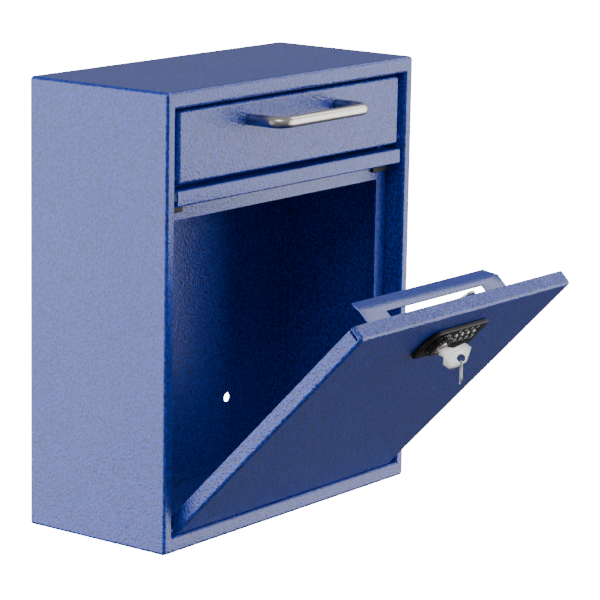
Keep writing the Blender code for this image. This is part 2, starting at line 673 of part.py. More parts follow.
def make_stop_ear(hopper, side):
    """The tab that folds outwards from a cheek and meets the stop flange when the hopper is open."""
    ear = bmesh.new()
    bmesh.ops.create_cube(ear, size=1.0)
    length = STOP_EAR_X - CHEEK_X + SHEET * 0.5
    middle = Vector((side * (STOP_EAR_X - length / 2), STOP_EAR_R + 2.0 - STOP_EAR_LENGTH / 2, 0.0))
    bmesh.ops.scale(ear, vec=Vector((length, STOP_EAR_LENGTH, SHEET)) * MM, verts=ear.verts)
    bmesh.ops.translate(ear, vec=middle * MM, verts=ear.verts)
    bmesh.ops.rotate(ear, matrix=Matrix.Rotation(math.radians(STOP_EAR_DEG), 3, "X"), verts=ear.verts)
    return new_cutter("stop_ear_%+d" % side, finish_mesh("ear", ear), hopper)


def make_cheeks(hopper):
    """Quarter-round side plates that close the hopper's ends, each with an ear that stops the swing."""
    middle = (HOPPER_HINGE_Y, HOPPER_HINGE_Z)
    front = HOPPER_FACE_Y + SHEET + GAP
    rear = HOPPER_BACK_Y + 1.0
    low = HOPPER_HINGE_Z - 0.5
    high = HOPPER_TOP - 6.0
    meets_rear_deg = math.degrees(math.acos((rear - HOPPER_HINGE_Y) / CHEEK_R))
    outline = [(front, low), (middle[0] + CHEEK_R, low)]
    outline += arc(middle, CHEEK_R, 3.0, meets_rear_deg, 8)
    outline += [(rear, high), (front, high)]
    for name, side in (("left", -1), ("right", 1)):
        shape = bmesh.new()
        corners = [shape.verts.new(hopper.local(side * CHEEK_X, y, z)) for y, z in outline]
        grown = bmesh.ops.extrude_face_region(shape, geom=[shape.faces.new(corners)])
        moved = [item for item in grown["geom"] if isinstance(item, bmesh.types.BMVert)]
        bmesh.ops.translate(shape, vec=(-side * SHEET * MM, 0.0, 0.0), verts=moved)
        bmesh.ops.recalc_face_normals(shape, faces=shape.faces)
        cheek = new_piece("hopper_cheek_" + name, finish_mesh("cheek", shape), hopper, "blue_powder")
        join(cheek, make_stop_ear(hopper, side))


def make_handle(hopper):
    """Bent round bar with two feet on the pan, and the screws that hold it from behind."""
    foot = HOPPER_FACE_Y - GAP
    points = [(-HANDLE_X, foot)]
    for side, start, end in ((-1, 180, 270), (1, 270, 360)):
        centre = (side * (HANDLE_X - HANDLE_BEND), HANDLE_Y + HANDLE_BEND)
        points += arc(centre, HANDLE_BEND, start, end, 6)
    points.append((HANDLE_X, foot))
    curve = bpy.data.curves.new("handle", "CURVE")
    curve.dimensions = "3D"
    curve.bevel_depth = HANDLE_R * MM
    curve.bevel_resolution = 4
    curve.use_fill_caps = True
    spline = curve.splines.new("POLY")
    spline.points.add(len(points) - 1)
    for point, (x, y) in zip(spline.points, points):
        point.co = (*hopper.local(x, y, HANDLE_Z), 1.0)
    spline.use_smooth = True
    curve.materials.append(MATERIALS["satin_nickel"])
    handle = bpy.data.objects.new("handle", curve)
    PARTS.objects.link(handle)
    handle.parent = hopper.empty

    back = HOPPER_FACE_Y + SHEET + GAP
    for name, x in (("left", -HANDLE_X), ("right", HANDLE_X)):
        ends = (x, back, HANDLE_Z), (x, back + HANDLE_SCREW_HEAD, HANDLE_Z)
        head = rod_mesh("screw", hopper, "Y", *ends, HANDLE_SCREW_R, 16, HANDLE_SCREW_TOP_R)
        new_piece("handle_screw_" + name, head, hopper, "zinc")


def build():
    """Makes every piece, frame by frame."""
    make_housing()
    make_back_panel()
    make_mid_rail()
    make_bumpers()
    make_pins("door_pin", CABINET, DOOR_HINGE_Y, DOOR_HINGE_Z)
    make_pins("hopper_pin", CABINET, HOPPER_HINGE_Y, HOPPER_HINGE_Z)

    door = new_frame("door_hinge", (0.0, DOOR_HINGE_Y, DOOR_HINGE_Z), CABINET, (DOOR_OPEN_DEG, 0.0, 0.0))
    make_door_panel(door)
    make_guard(door)
    make_lock_case(door)
    make_dials(door)
    knob = new_frame("knob_pivot", (LOCK_X, 0.0, LOCK_Z), door, (0.0, LOCK_TURN_DEG, 0.0))
    make_knob(knob)
    make_cam(knob)
    key = new_frame("key_pivot", (LOCK_X, 0.0, LOCK_Z), knob)
    make_key_ring(key, *make_key(key))

    hopper = new_frame("hopper_hinge", (0.0, HOPPER_HINGE_Y, HOPPER_HINGE_Z), CABINET)
    make_hopper_front(hopper)
    make_chute(hopper)
    make_cheeks(hopper)
    make_handle(hopper)


clear_scene()
PARTS = new_collection("mailbox")
CUTTERS = new_collection("cutters")
MATERIALS = {name: new_material(name) for name in COLOURS}
build()
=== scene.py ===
"""Looks of a wall drop box: powder-coated sheet steel, a satin pull handle and a combination lock.

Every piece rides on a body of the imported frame. Lengths in the dataclasses are millimetres unless
their name says otherwise, and MM turns them into the frame's metres.
"""
import json
import logging
import math
from dataclasses import dataclass, field
from enum import Enum

import bmesh
import bpy
from mathutils import Matrix, Vector


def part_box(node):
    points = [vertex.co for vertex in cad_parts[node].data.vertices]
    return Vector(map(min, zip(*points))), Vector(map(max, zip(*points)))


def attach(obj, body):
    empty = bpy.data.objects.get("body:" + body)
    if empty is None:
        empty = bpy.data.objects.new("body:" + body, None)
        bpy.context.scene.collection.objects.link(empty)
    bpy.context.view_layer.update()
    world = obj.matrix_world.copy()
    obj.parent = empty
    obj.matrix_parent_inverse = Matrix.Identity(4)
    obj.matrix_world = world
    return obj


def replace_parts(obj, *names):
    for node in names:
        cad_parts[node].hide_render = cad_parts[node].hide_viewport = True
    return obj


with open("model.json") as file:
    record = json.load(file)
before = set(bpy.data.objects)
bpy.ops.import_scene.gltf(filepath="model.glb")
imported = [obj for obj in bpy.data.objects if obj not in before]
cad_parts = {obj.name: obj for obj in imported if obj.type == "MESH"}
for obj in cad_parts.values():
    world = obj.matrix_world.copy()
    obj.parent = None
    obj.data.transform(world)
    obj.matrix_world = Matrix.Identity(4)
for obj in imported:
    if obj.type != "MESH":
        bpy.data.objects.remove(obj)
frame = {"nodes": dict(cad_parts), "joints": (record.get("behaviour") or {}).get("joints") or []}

MM = 0.001
LOG = logging.getLogger("drop_box")


class Slot(Enum):
    """The record's material slots."""

    CABINET = "cabinet_blue"
    DOOR = "door_blue"
    HOPPER = "hopper_blue"
    LOCK = "lock_black"
    DIAL = "dial_black"
    RUBBER = "rubber"
    ZINC = "zinc"
    NICKEL = "nickel"
    HANDLE = "handle_nickel"


class Axis(Enum):
    """Directions that a turned part can run in."""

    X = Matrix.Rotation(math.pi / 2, 4, "Y")
    Y = Matrix.Rotation(-math.pi / 2, 4, "X")
    Z = Matrix.Identity(4)


# Node helpers ----------------------------------------------------------------------------------------

def linear(code: str) -> tuple[float, float, float, float]:
    """Turns an sRGB hex colour to linear.

    Args:
        code: six hex digits, with or without a leading #.

    Returns:
        Linear red, green and blue, and an alpha of 1.
    """
    parts = [int(code.lstrip("#")[i:i + 2], 16) / 255 for i in (0, 2, 4)]
    red, green, blue = [c / 12.92 if c <= 0.04045 else ((c + 0.055) / 1.055) ** 2.4 for c in parts]
    return (red, green, blue, 1.0)


def add_node(tree: bpy.types.NodeTree, kind: str, settings: dict | None = None,
             inputs: dict | None = None) -> bpy.types.Node:
    """Adds a node with its settings, values and links.

    Args:
        tree: the node tree.
        kind: the node's type name.
        settings: properties to set on the node.
        inputs: socket name or number to a value, or to another node's output socket.

    Returns:
        The new node.
    """
    node = tree.nodes.new(kind)
    for key, value in (settings or {}).items():
        setattr(node, key, value)
    for key, value in (inputs or {}).items():
        if isinstance(value, bpy.types.NodeSocket):
            tree.links.new(value, node.inputs[key])
        else:
            node.inputs[key].default_value = value
    return node


def colour_ramp(tree: bpy.types.NodeTree, source: bpy.types.NodeSocket,
                stops: list[tuple[float, tuple[float, float, float, float]]]) -> bpy.types.NodeSocket:
    """A colour ramp with the given stops.

    Args:
        tree: the node tree.
        source: the factor.
        stops: positions and linear colours, lowest first.

    Returns:
        The ramp's colour output.
    """
    ramp = add_node(tree, "ShaderNodeValToRGB", inputs={"Fac": source})
    elements = ramp.color_ramp.elements
    while len(elements) < len(stops):
        elements.new(0.5)
    for element, (position, colour) in zip(elements, stops):
        element.position = position
        element.color = colour
    return ramp.outputs["Color"]


def new_material(name: str) -> tuple[bpy.types.Material, bpy.types.NodeTree, bpy.types.Node]:
    """A material with only its shader and output.

    Args:
        name: the material's name.

    Returns:
        The material, its node tree and its Principled shader.
    """
    material = bpy.data.materials.new(name)
    material.use_nodes = True
    tree = material.node_tree
    return material, tree, tree.nodes["Principled BSDF"]


# Finishes --------------------------------------------------------------------------------------------

@dataclass(frozen=True)
class PowderCoat:
    """Polyester powder coat, stoved: an orange-peel skin that breaks up a soft gloss, with painted shade
    darkening the peel's pits.
    """

    name: str
    colour: str = "#0c48d2"
    # painted shade: the darker blue laid into the orange peel's pits
    pit_colour: str = "#06268e"
    grain_mm: float = 1.5          # from crest to crest of the orange peel
    relief_mm: float = 0.3
    roughness: float = 0.33
    coat: float = 0.3
    specular: float = 0.55

    def make(self) -> bpy.types.Material:
        """Builds the material."""
        material, tree, shader = new_material(self.name)
        place = add_node(tree, "ShaderNodeTexCoord").outputs["Object"]
        peel = add_node(tree, "ShaderNodeTexNoise", inputs={
            "Vector": place, "Scale": 1 / (self.grain_mm * MM), "Detail": 1.5, "Roughness": 0.45})
        cells = add_node(tree, "ShaderNodeTexVoronoi", {"feature": "SMOOTH_F1"}, {
            "Vector": place, "Scale": 0.8 / (self.grain_mm * MM), "Smoothness": 0.6})
        cloud = add_node(tree, "ShaderNodeTexNoise", inputs={
            "Vector": place, "Scale": 1 / (60 * MM), "Detail": 2.0})
        relief = add_node(tree, "ShaderNodeMath", {"operation": "MULTIPLY_ADD"}, {
            0: cells.outputs["Distance"], 1: -0.55, 2: peel.outputs["Fac"]})
        # painted shade: the relief's low points take the darker blue, the crests the paint's own blue
        skin = colour_ramp(tree, relief.outputs[0], [
            (0.1, linear(self.pit_colour)), (0.45, linear(self.colour))])
        tree.links.new(skin, shader.inputs["Base Color"])
        rough = add_node(tree, "ShaderNodeMapRange", inputs={
            "Value": cloud.outputs["Fac"], "To Min": self.roughness - 0.03, "To Max": self.roughness + 0.05})
        tree.links.new(rough.outputs[0], shader.inputs["Roughness"])
        bump = add_node(tree, "ShaderNodeBump", inputs={
            "Strength": 1.0, "Distance": self.relief_mm * MM, "Height": relief.outputs[0]})
        tree.links.new(bump.outputs[0], shader.inputs["Normal"])
        tree.links.new(bump.outputs[0], shader.inputs["Coat Normal"])
        shader.inputs["IOR"].default_value = 1.5
        shader.inputs["Specular IOR Level"].default_value = self.specular
        shader.inputs["Coat Weight"].default_value = self.coat
        shader.inputs["Coat Roughness"].default_value = 0.16
        return material


@dataclass(frozen=True)
class BrushedMetal:
    """Plated or solid metal, brushed or drawn: fine lines along it and a stretched highlight."""

    name: str
    colour: str
    roughness: float
    line_mm: float = 0.25
    along: tuple[float, float, float] = (1.0, 0.04, 1.0)
    relief_mm: float = 0.004

    def make(self) -> bpy.types.Material:
        """Builds the material."""
        material, tree, shader = new_material(self.name)
        place = add_node(tree, "ShaderNodeTexCoord").outputs["Object"]
        stretched = add_node(tree, "ShaderNodeMapping", inputs={"Vector": place, "Scale": self.along})
        lines = add_node(tree, "ShaderNodeTexNoise", inputs={
            "Vector": stretched.outputs[0], "Scale": 1 / (self.line_mm * MM), "Detail": 3.0})
        cloud = add_node(tree, "ShaderNodeTexNoise", inputs={
            "Vector": place, "Scale": 1 / (9 * MM), "Detail": 2.0})
        base = Vector(linear(self.colour)[:3])
        tone = colour_ramp(tree, lines.outputs["Fac"], [
            (0.3, (*(base * 0.86), 1.0)), (0.7, (*base, 1.0))])
        tree.links.new(tone, shader.inputs["Base Color"])
        rough = add_node(tree, "ShaderNodeMapRange", inputs={
            "Value": cloud.outputs["Fac"], "To Min": self.roughness - 0.04, "To Max": self.roughness + 0.06})
        tree.links.new(rough.outputs[0], shader.inputs["Roughness"])
        bump = add_node(tree, "ShaderNodeBump", inputs={
            "Strength": 0.6, "Distance": self.relief_mm * MM, "Height": lines.outputs["Fac"]})
        tree.links.new(bump.outputs[0], shader.inputs["Normal"])
        shader.inputs["Metallic"].default_value = 1.0
        return material


@dataclass(frozen=True)
class Moulded:
    """Moulded plastic or rubber: a spark-eroded grain, with painted shade darkening its pits and a painted
    highlight lightening its crests.
    """

    name: str
    colour: str
    roughness: float
    grain_mm: float = 0.35
    relief_mm: float = 0.012

    def make(self) -> bpy.types.Material:
        """Builds the material."""
        material, tree, shader = new_material(self.name)
        place = add_node(tree, "ShaderNodeTexCoord").outputs["Object"]
        grain = add_node(tree, "ShaderNodeTexNoise", inputs={
            "Vector": place, "Scale": 1 / (self.grain_mm * MM), "Detail": 2.0})
        base = Vector(linear(self.colour)[:3])
        # painted shade in the grain's pits and painted highlight on its crests, following the bump's height
        tone = colour_ramp(tree, grain.outputs["Fac"], [
            (0.3, (*(base * 0.7), 1.0)), (0.65, (*(base * 1.15), 1.0))])
        tree.links.new(tone, shader.inputs["Base Color"])
        rough = add_node(tree, "ShaderNodeMapRange", inputs={
            "Value": grain.outputs["Fac"], "To Min": self.roughness - 0.05, "To Max": self.roughness + 0.08})
        tree.links.new(rough.outputs[0], shader.inputs["Roughness"])
        bump = add_node(tree, "ShaderNodeBump", inputs={
            "Strength": 0.7, "Distance": self.relief_mm * MM, "Height": grain.outputs["Fac"]})
        tree.links.new(bump.outputs[0], shader.inputs["Normal"])
        shader.inputs["IOR"].default_value = 1.49
        return material


@dataclass(frozen=True)
class Finishes:
    """Every finish of the box, each made once."""

    cabinet: bpy.types.Material
    door: bpy.types.Material
    guard: bpy.types.Material
    handle: bpy.types.Material
    zinc: bpy.types.Material
    nickel: bpy.types.Material
    lock: bpy.types.Material
    knob: bpy.types.Material
    dial: bpy.types.Material
    print_white: bpy.types.Material
    print_red: bpy.types.Material
    rubber: bpy.types.Material

    @staticmethod
    def make() -> "Finishes":
        """Builds all the materials."""
        even = (1.0, 1.0, 1.0)
        return Finishes(
            cabinet=PowderCoat("powder_coat_royal_blue").make(),
            door=PowderCoat("powder_coat_royal_blue_fine", relief_mm=0.42, grain_mm=1.4).make(),
            guard=PowderCoat("powder_coat_royal_blue_smooth", relief_mm=0.06, grain_mm=1.2,
                             roughness=0.26).make(),
            handle=BrushedMetal("satin_nickel", "#d6d1c8", 0.3, along=(0.04, 1.0, 1.0)).make(),
            zinc=BrushedMetal("bright_zinc_plate", "#c3c7cc", 0.28, line_mm=0.5, along=even).make(),
            nickel=BrushedMetal("bright_nickel_plate", "#f6f6f4", 0.42, line_mm=0.4, along=even).make(),
            lock=Moulded("glass_filled_nylon_black", "#12110f", 0.5).make(),
            knob=Moulded("glossy_nylon_black", "#060606", 0.16, relief_mm=0.003).make(),
            dial=Moulded("acetal_black", "#101010", 0.3).make(),
            print_white=Moulded("pad_print_white", "#fbfbf8", 0.5, relief_mm=0.002).make(),
            print_red=Moulded("pad_print_red", "#9c1c16", 0.45, relief_mm=0.002).make(),
            rubber=Moulded("nitrile_rubber_black", "#121212", 0.62, grain_mm=0.6).make(),
        )


# Mesh helpers ----------------------------------------------------------------------------------------

def put(shape: bmesh.types.BMesh, name: str, body: str, material: bpy.types.Material,
        smooth_deg: float = 35.0) -> bpy.types.Object:
    """Turns a bmesh into a dressed piece at the origin that rides on a body.

    Args:
        shape: the finished shape, in metres; it is freed.
        name: the piece's name.
        body: the body it rides on.
        material: its material.
        smooth_deg: edges sharper than this stay sharp.

    Returns:
        The new object.
    """
    mesh = bpy.data.meshes.new(name)
    shape.to_mesh(mesh)
    shape.free()
    mesh.materials.append(material)
    mesh.shade_smooth()
    mesh.set_sharp_from_angle(angle=math.radians(smooth_deg))
    piece = bpy.data.objects.new(name, mesh)
    bpy.context.scene.collection.objects.link(piece)
    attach(piece, body)
    LOG.info("%s: %d faces, on %s", name, len(mesh.polygons), body)
    return piece


def transform(shape: bmesh.types.BMesh, matrix: Matrix) -> None:
    """Moves a whole shape by a matrix."""
    bmesh.ops.transform(shape, matrix=matrix, verts=shape.verts)


def soften(shape: bmesh.types.BMesh, width: float, segments: int = 2, angle_deg: float = 40.0,
           keep: float = 0.0) -> None:
    """Rounds the sharp edges of a shape.

    Args:
        shape: the shape.
        width: the bevel's width in millimetres.
        segments: its segments.
        angle_deg: edges flatter than this are left.
        keep: edges shorter than this many millimetres are left.
    """
    limit = math.radians(angle_deg)
    edges = [e for e in shape.edges if e.is_manifold and e.calc_face_angle(0.0) > limit
             and e.calc_length() >= keep * MM]
    bmesh.ops.bevel(shape, geom=edges, offset=width * MM, offset_type="OFFSET", segments=segments,
                    profile=0.5, affect="EDGES", clamp_overlap=True, material=-1)


def drum(axis: Axis, start: Vector, length: float, radius: float, end_radius: float | None = None,
         segments: int = 48) -> bmesh.types.BMesh:
    """A closed cylinder or cone.

    Args:
        axis: the way it runs.
        start: the middle of its first end, in metres.
        length: in millimetres, along the axis.
        radius: of the first end, in millimetres.
        end_radius: of the far end, if it differs.
        segments: round its rim.

    Returns:
        The shape.
    """
    shape = bmesh.new()
    bmesh.ops.create_cone(shape, cap_ends=True, segments=segments, radius1=radius * MM,
                          radius2=(radius if end_radius is None else end_radius) * MM, depth=length * MM)
    bmesh.ops.translate(shape, vec=(0.0, 0.0, length * MM / 2), verts=shape.verts)
    transform(shape, Matrix.Translation(start) @ axis.value)
    return shape


def block(low: Vector, high: Vector) -> bmesh.types.BMesh:
    """A box between two corners, in metres, ready to be shaped."""
    shape = bmesh.new()
    bmesh.ops.create_cube(shape, size=1.0)
    bmesh.ops.scale(shape, vec=high - low, verts=shape.verts)
    bmesh.ops.translate(shape, vec=(low + high) / 2, verts=shape.verts)
    return shape


def slab(outline: list[tuple[float, float]], low_y: float, high_y: float) -> bmesh.types.BMesh:
    """A flat outline of (x, z) millimetres with a thickness along Y."""
    shape = bmesh.new()
    ring = [shape.verts.new(Vector((x, low_y, z)) * MM) for x, z in outline]
    grown = bmesh.ops.extrude_face_region(shape, geom=[shape.faces.new(ring)])
    moved = [g for g in grown["geom"] if isinstance(g, bmesh.types.BMVert)]
    bmesh.ops.translate(shape, vec=(0.0, (high_y - low_y) * MM, 0.0), verts=moved)
    bmesh.ops.recalc_face_normals(shape, faces=shape.faces)
    return shape


def lathe(profile: list[tuple[float, float]], steps: int) -> bmesh.types.BMesh:
    """Turns a profile about the Y axis.

    Args:
        profile: radius and place along Y of each point, in millimetres.
        steps: facets round the axis.

    Returns:
        The turned shape, in metres, closed when the profile is.
    """
    shape = bmesh.new()
    verts = [shape.verts.new(Vector((radius, along, 0.0)) * MM) for radius, along in profile]
    edges = [shape.edges.new(pair) for pair in zip(verts, verts[1:])]
    bmesh.ops.spin(shape, geom=verts + edges, cent=(0, 0, 0), axis=(0, 1, 0), angle=2 * math.pi, steps=steps,
                   use_merge=True, use_duplicate=False)
    bmesh.ops.remove_doubles(shape, verts=shape.verts, dist=0.005 * MM)
    bmesh.ops.recalc_face_normals(shape, faces=shape.faces)
    return shape


def arc(centre: tuple[float, float], radius: float, start_deg: float, end_deg: float,
        steps: int) -> list[tuple[float, float]]:
    """Points of an arc, anticlockwise from the first axis."""
    angles = [math.radians(start_deg + (end_deg - start_deg) * i / steps) for i in range(steps + 1)]
    return [(centre[0] + radius * math.cos(a), centre[1] + radius * math.sin(a)) for a in angles]


def merge(target: bmesh.types.BMesh, other: bmesh.types.BMesh) -> None:
    """Adds another shape's faces to a shape as a separate lump."""
    mesh = bpy.data.meshes.new("lump")
    other.to_mesh(mesh)
    other.free()
    target.from_mesh(mesh)
    bpy.data.meshes.remove(mesh)


def carve(piece: bpy.types.Object, cutters: list[bmesh.types.BMesh]) -> None:
    """Cuts shapes out of a piece and keeps the result as its mesh.

    Args:
        piece: the piece.
        cutters: closed shapes; they are freed.
    """
    tools = []
    for number, cutter in enumerate(cutters):
        mesh = bpy.data.meshes.new("cutter")
        cutter.to_mesh(mesh)
        cutter.free()
        tool = bpy.data.objects.new("cutter_%d" % number, mesh)
        bpy.context.scene.collection.objects.link(tool)
        tools.append(tool)
        made = piece.modifiers.new("cut", "BOOLEAN")
        made.operation = "DIFFERENCE"
        made.object = tool
    bpy.context.view_layer.update()
    result = bpy.data.meshes.new_from_object(piece.evaluated_get(bpy.context.evaluated_depsgraph_get()))
    piece.modifiers.clear()
    old = piece.data
    result.name = old.name + "_carved"
    if not result.polygons:
        LOG.error("%s: nothing is left after the cut", piece.name)
    piece.data = result
    bpy.data.meshes.remove(old)
    for tool in tools:
        mesh = tool.data
        bpy.data.objects.remove(tool)
        bpy.data.meshes.remove(mesh)


def joint(name: str) -> dict:
    """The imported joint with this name."""
    return next(j for j in frame["joints"] if j["name"] == name)


# Sheet metal -----------------------------------------------------------------------------------------

@dataclass
class SheetMetal:
    """Bent and welded sheet parts, whose shapes the frame settles and whose edges are finished here."""

    finishes: Finishes
    edge_mm: float = 0.22
    flat_deg: float = 1.0

    def finish_node(self, node: str, name: str, body: str, material: bpy.types.Material) -> None:
        """Replaces a sheet node by one with merged faces and paint-rounded edges.

        Args:
            node: the node.
            name: the new piece's name.
            body: the body it rides on.
            material: its material.
        """
        shape = bmesh.new()
        shape.from_mesh(frame["nodes"][node].data)
        bmesh.ops.remove_doubles(shape, verts=shape.verts, dist=0.004 * MM)
        bmesh.ops.dissolve_limit(shape, angle_limit=math.radians(self.flat_deg), verts=shape.verts,
                                 edges=shape.edges)
        soften(shape, self.edge_mm, angle_deg=55.0, keep=0.6)
        piece = put(shape, name, body, material, smooth_deg=40.0)
        weighted = piece.modifiers.new("flat faces", "WEIGHTED_NORMAL")
        weighted.keep_sharp = True
        weighted.weight = 100
        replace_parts(piece, node)

    def build(self) -> None:
        """Finishes every sheet part."""
        paint = self.finishes
        self.finish_node("housing", "cabinet_shell", "cabinet", paint.cabinet)
        self.finish_node("back_panel", "cabinet_back", "cabinet", paint.cabinet)
        self.finish_node("mid_rail", "cabinet_rail", "cabinet", paint.cabinet)
        self.finish_node("door_panel", "door_pan", "door", paint.door)
        self.finish_node("lock_guard", "door_guard", "door", paint.guard)
        self.finish_node("hopper_front", "hopper_pan", "hopper", paint.door)
        self.finish_node("hopper_chute", "hopper_floor", "hopper", paint.door)
        for side in ("left", "right"):
            self.finish_node("hopper_cheek_" + side, "hopper_side_" + side, "hopper", paint.door)


@dataclass
class Bumpers:
    """Soft pads that the door shuts against."""

    finishes: Finishes
    edge_mm: float = 0.7

    def build(self) -> None:
        """Moulds a pad in each CAD pad's place."""
        for side in ("left", "right"):
            node = "bumper_" + side
            low, high = (Vector(corner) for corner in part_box(node))
            shape = block(low, high)
            soften(shape, self.edge_mm, segments=4)
            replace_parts(put(shape, "bumper_pad_" + side, "cabinet", self.finishes.rubber), node)


@dataclass
class HingePins:
    """Riveted pins with domed heads, two for the door and two for the hopper."""

    finishes: Finishes
    head_mm: float = 1.7
    shank: float = 0.68            # of the head's radius
    edge_mm: float = 0.45

    def build(self) -> None:
        """Turns a pin in each CAD pin's place, head outwards."""
        for owner in ("door", "hopper"):
            for side, sign in (("left", -1), ("right", 1)):
                node = "%s_pin_%s" % (owner, side)
                low, high = (Vector(corner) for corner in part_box(node))
                head_r = (high.z - low.z) / 2 / MM
                middle = (low + high) / 2
                tip = low.x if sign > 0 else high.x
                end = high.x if sign > 0 else low.x
                length = abs(end - tip) / MM
                near = min(tip, end)
                shape = drum(Axis.X, Vector((near, middle.y, middle.z)), length, head_r * self.shank)
                head_from = end - sign * self.head_mm * MM if sign > 0 else end
                merge(shape, drum(Axis.X, Vector((head_from, middle.y, middle.z)), self.head_mm, head_r))
                soften(shape, self.edge_mm, segments=3)
                name = "%s_rivet_%s" % (owner, side)
                rivet = put(shape, name, "cabinet", self.finishes.cabinet)
                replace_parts(rivet, node)


# Handle ----------------------------------------------------------------------------------------------

@dataclass
class PullHandle:
    """A satin bar bent twice, standing on the hopper, with its two screws behind."""

    finishes: Finishes
    bend_mm: float = 9.0
    bend_steps: int = 14
    around: int = 40
    foot_edge_mm: float = 0.35
    screw_edge_mm: float = 0.8
    recess_mm: tuple[float, float, float] = (0.9, 4.4, 1.3)

    def build(self) -> None:
        """Makes the bar and the screws."""
        low, high = (Vector(corner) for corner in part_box("handle"))
        radius = (high.z - low.z) / 2
        leg_x = high.x - radius
        bar_y = low.y + radius
        bend = self.bend_mm * MM
        height = (low.z + high.z) / 2
        shape = bmesh.new()
        bmesh.ops.create_circle(shape, segments=self.around, radius=radius)
        transform(shape, Matrix.Translation((-leg_x, high.y, height)) @ Matrix.Rotation(math.pi / 2, 4, "X"))
        first = list(shape.edges)
        rim = self.pull(shape, first, Vector((0.0, bar_y + bend - high.y, 0.0)))
        rim = self.turn(shape, rim, Vector((-leg_x + bend, bar_y + bend, height)))
        rim = self.pull(shape, rim, Vector((2 * (leg_x - bend), 0.0, 0.0)))
        rim = self.turn(shape, rim, Vector((leg_x - bend, bar_y + bend, height)))
        rim = self.pull(shape, rim, Vector((0.0, high.y - bar_y - bend, 0.0)))
        bmesh.ops.edgenet_fill(shape, edges=first)
        bmesh.ops.edgenet_fill(shape, edges=rim)
        bmesh.ops.recalc_face_normals(shape, faces=shape.faces)
        soften(shape, self.foot_edge_mm, angle_deg=70.0)
        piece = put(shape, "pull_bar", "hopper", self.finishes.handle)
        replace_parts(piece, "handle")
        for side in ("left", "right"):
            self.screw("handle_screw_" + side, "pull_screw_" + side)

    @staticmethod
    def pull(shape: bmesh.types.BMesh, rim: list[bmesh.types.BMEdge],
             step: Vector) -> list[bmesh.types.BMEdge]:
        """Extrudes a rim straight by a step and returns the new rim."""
        grown = bmesh.ops.extrude_edge_only(shape, edges=rim)["geom"]
        verts = [g for g in grown if isinstance(g, bmesh.types.BMVert)]
        bmesh.ops.translate(shape, vec=step, verts=verts)
        return [g for g in grown if isinstance(g, bmesh.types.BMEdge) and all(v in verts for v in g.verts)]

    def turn(self, shape: bmesh.types.BMesh, rim: list[bmesh.types.BMEdge],
             centre: Vector) -> list[bmesh.types.BMEdge]:
        """Spins a rim a quarter turn about an upright axis and returns the new rim."""
        corners = list({v for e in rim for v in e.verts})
        spun = bmesh.ops.spin(shape, geom=rim + corners, cent=centre, axis=(0.0, 0.0, 1.0), angle=math.pi / 2,
                              steps=self.bend_steps, use_duplicate=False)["geom_last"]
        return [g for g in spun if isinstance(g, bmesh.types.BMEdge)]

    def screw(self, node: str, name: str) -> None:
        """A pan-head screw with a cross recess, seen from behind the hopper's face."""
        low, high = (Vector(corner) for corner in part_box(node))
        middle = (low + high) / 2
        radius = (high.z - low.z) / 2 / MM
        foot = Vector((middle.x, low.y, middle.z))
        shape = drum(Axis.Y, foot, (high.y - low.y) / MM, radius, radius * 0.8)
        soften(shape, self.screw_edge_mm, segments=4)
        piece = put(shape, name, "hopper", self.finishes.zinc)
        crown = Vector((middle.x, high.y, middle.z))
        width, length, depth = (part * MM for part in self.recess_mm)
        arms = []
        for size in ((width, length), (length, width)):
            half = Vector((size[0] / 2, depth, size[1] / 2))
            arms.append(block(crown - half, crown + half))
        carve(piece, arms)
        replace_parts(piece, node)


# Lock ------------------------------------------------------------------------------------------------

@dataclass
class DoorPlace:
    """Where the closed door's millimetres are once the door lies on its stop."""

    spot: Matrix = field(init=False)
    knob: Matrix = field(init=False)

    def __post_init__(self) -> None:
        """Reads the hinges from the frame."""
        swing = joint("door_swing")
        turn = joint("knob_turn")
        opened = math.radians(-swing["range_deg"][0])
        lean = math.radians(-turn["range_deg"][0])
        tilt = Matrix.Rotation(opened, 4, "X")
        self.spot = Matrix.Translation(turn["pos_m"]) @ tilt
        self.knob = self.spot @ Matrix.Rotation(lean, 4, "Y")


